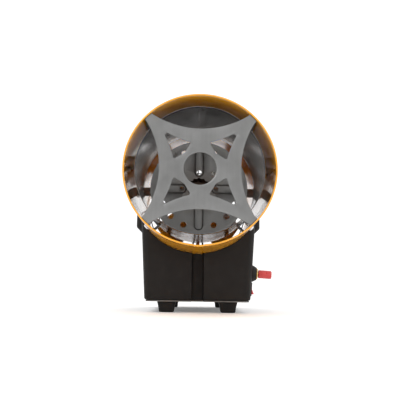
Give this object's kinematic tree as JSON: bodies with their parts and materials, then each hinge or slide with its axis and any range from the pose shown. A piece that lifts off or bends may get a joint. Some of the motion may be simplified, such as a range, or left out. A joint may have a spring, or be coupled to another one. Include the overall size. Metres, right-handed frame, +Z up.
{
  "type": "portable gas forced-air heater",
  "caption": "Portable gas forced-air heater: enamelled drum with burner, baffle and fan, on a footed plastic base with a carry handle and side controls.",
  "frame": {"origin": "on the floor, under the middle of the bounding box", "axes": "+X to the side with the controls, +Y to the air intake (the outlet faces -Y), +Z up"},
  "size_m": [0.2175, 0.4115, 0.333],
  "materials": {
    "yellow_enamel": "gloss enamel",
    "black_plastic": "fine grained",
    "red_plastic": "gloss",
    "sheet_steel": "satin, stamped",
    "dark_sheet_steel": "dull, rolled",
    "zinc_plate": "zinc plated",
    "brass": "turned",
    "copper": "drawn copper tube",
    "white_ceramic": "glazed ceramic",
    "black_rubber": "matt rubber",
    "black_wire": "powder coat"
  },
  "bodies": {
    "machine": {"drum_shell": "yellow_enamel", "base_housing": "black_plastic", "handle_grip": "black_plastic", "valve_bezel": "black_plastic", "piezo_body": "black_plastic", "switch_body": "black_plastic", "cable_gland": "black_plastic", "front_baffle": "sheet_steel", "burner_disc": "sheet_steel", "electrode_rod": "sheet_steel", "thermocouple": "sheet_steel", "combustion_chamber": "dark_sheet_steel", "burner_cup": "dark_sheet_steel", "burner_crossbar": "dark_sheet_steel", "motor_bracket": "dark_sheet_steel", "base_cover": "dark_sheet_steel", "chamber_bracket_1": "dark_sheet_steel", "chamber_bracket_2": "dark_sheet_steel", "chamber_bracket_3": "dark_sheet_steel", "chamber_bracket_4": "dark_sheet_steel", "motor_housing": "zinc_plate", "overheat_thermostat": "zinc_plate", "handle_screw_front": "zinc_plate", "handle_screw_rear": "zinc_plate", "crossbar_screw_1": "zinc_plate", "crossbar_screw_2": "zinc_plate", "baffle_screw_1": "zinc_plate", "baffle_screw_2": "zinc_plate", "baffle_screw_3": "zinc_plate", "baffle_screw_4": "zinc_plate", "motor_screw_1": "zinc_plate", "motor_screw_2": "zinc_plate", "motor_screw_3": "zinc_plate", "motor_screw_4": "zinc_plate", "gas_nozzle": "brass", "valve_body": "brass", "valve_nut": "brass", "inlet_fitting": "brass", "gas_pipe": "copper", "inlet_pipe": "copper", "electrode_insulator": "white_ceramic", "terminal_block": "white_ceramic", "foot_1": "black_rubber", "foot_2": "black_rubber", "foot_3": "black_rubber", "foot_4": "black_rubber", "passage_grommet": "black_rubber", "inner_cord": "black_rubber", "motor_lead": "black_rubber", "switch_lead": "black_rubber", "ignition_lead": "black_rubber", "thermocouple_lead": "black_rubber", "rear_guard": "black_wire"},
    "fan": {"motor_shaft": "zinc_plate", "fan_hub": "black_plastic", "fan_blades": "zinc_plate"},
    "gas_valve_button": {"gas_button": "red_plastic", "valve_stem": "sheet_steel"},
    "power_rocker": {"switch_rocker": "red_plastic"},
    "ignition_button": {"piezo_button": "red_plastic"}
  },
  "joints": [
    {"name": "fan_spin", "type": "hinge", "parent": "machine", "child": "fan", "pos_m": [-0.00608, 0.122, 0.189], "axis": [0, 1, 0], "continuous": true},
    {"name": "gas_button_press", "type": "slide", "parent": "machine", "child": "gas_valve_button", "axis": [-0.998, 0, 0.0628], "range_m": [0, 0.005], "stiffness_N_per_m": 400, "springref_m": -0.004},
    {"name": "power_rocker", "type": "hinge", "parent": "machine", "child": "power_rocker", "pos_m": [0.07561, -0.04, 0.0358], "axis": [0, 1, 0], "range_deg": [0, 20]},
    {"name": "ignition_press", "type": "slide", "parent": "machine", "child": "ignition_button", "axis": [-0.998, 0, 0.0628], "range_m": [0, 0.006], "stiffness_N_per_m": 500, "springref_m": -0.004}
  ]
}
